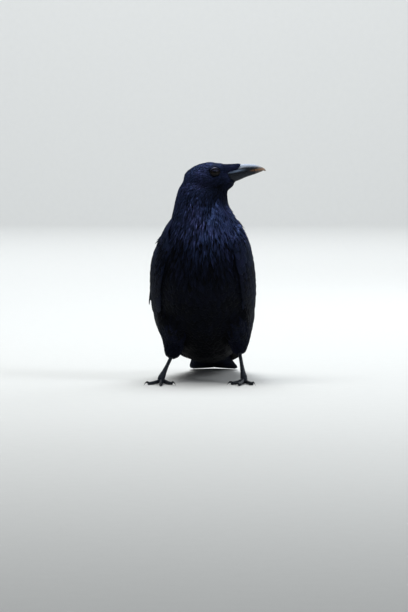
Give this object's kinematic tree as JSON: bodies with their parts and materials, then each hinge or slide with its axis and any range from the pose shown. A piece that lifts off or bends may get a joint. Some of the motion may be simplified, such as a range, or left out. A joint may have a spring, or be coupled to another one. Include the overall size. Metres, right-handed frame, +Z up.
{
  "type": "carrion crow",
  "caption": "Life-size still model of a standing black crow, head turned to its left, wings folded and tail laid on the floor.",
  "frame": {"origin": "on the floor, below the middle of the bird's bounding box", "axes": "+Z up; the bird's body faces -Y and its tail trails towards +Y; its left side is towards +X"},
  "size_m": [0.1456, 0.32, 0.2663],
  "materials": {
    "plumage": "black contour feathers with a blue-violet gloss on head, neck and upper breast",
    "flight_feathers": "smooth black wing and tail feathers with a faint blue gloss",
    "horn": "black-grey horn, worn paler and brownish at the bill's tip",
    "scutes": "black scaled skin with a low sheen",
    "eye": "wet dark brown eye"
  },
  "bodies": {
    "root": {"head": "plumage", "neck": "plumage", "trunk": "plumage", "bill_upper": "horn", "bill_lower": "horn", "eye_left": "eye", "eye_right": "eye", "tail": "flight_feathers", "wing_left": "flight_feathers", "thigh_left": "plumage", "shank_left": "scutes", "toe_inner_left": "scutes", "claw_inner_left": "horn", "toe_middle_left": "scutes", "claw_middle_left": "horn", "toe_outer_left": "scutes", "claw_outer_left": "horn", "toe_hind_left": "scutes", "claw_hind_left": "horn", "wing_right": "flight_feathers", "thigh_right": "plumage", "shank_right": "scutes", "toe_inner_right": "scutes", "claw_inner_right": "horn", "toe_middle_right": "scutes", "claw_middle_right": "horn", "toe_outer_right": "scutes", "claw_outer_right": "horn", "toe_hind_right": "scutes", "claw_hind_right": "horn"}
  },
  "joints": []
}
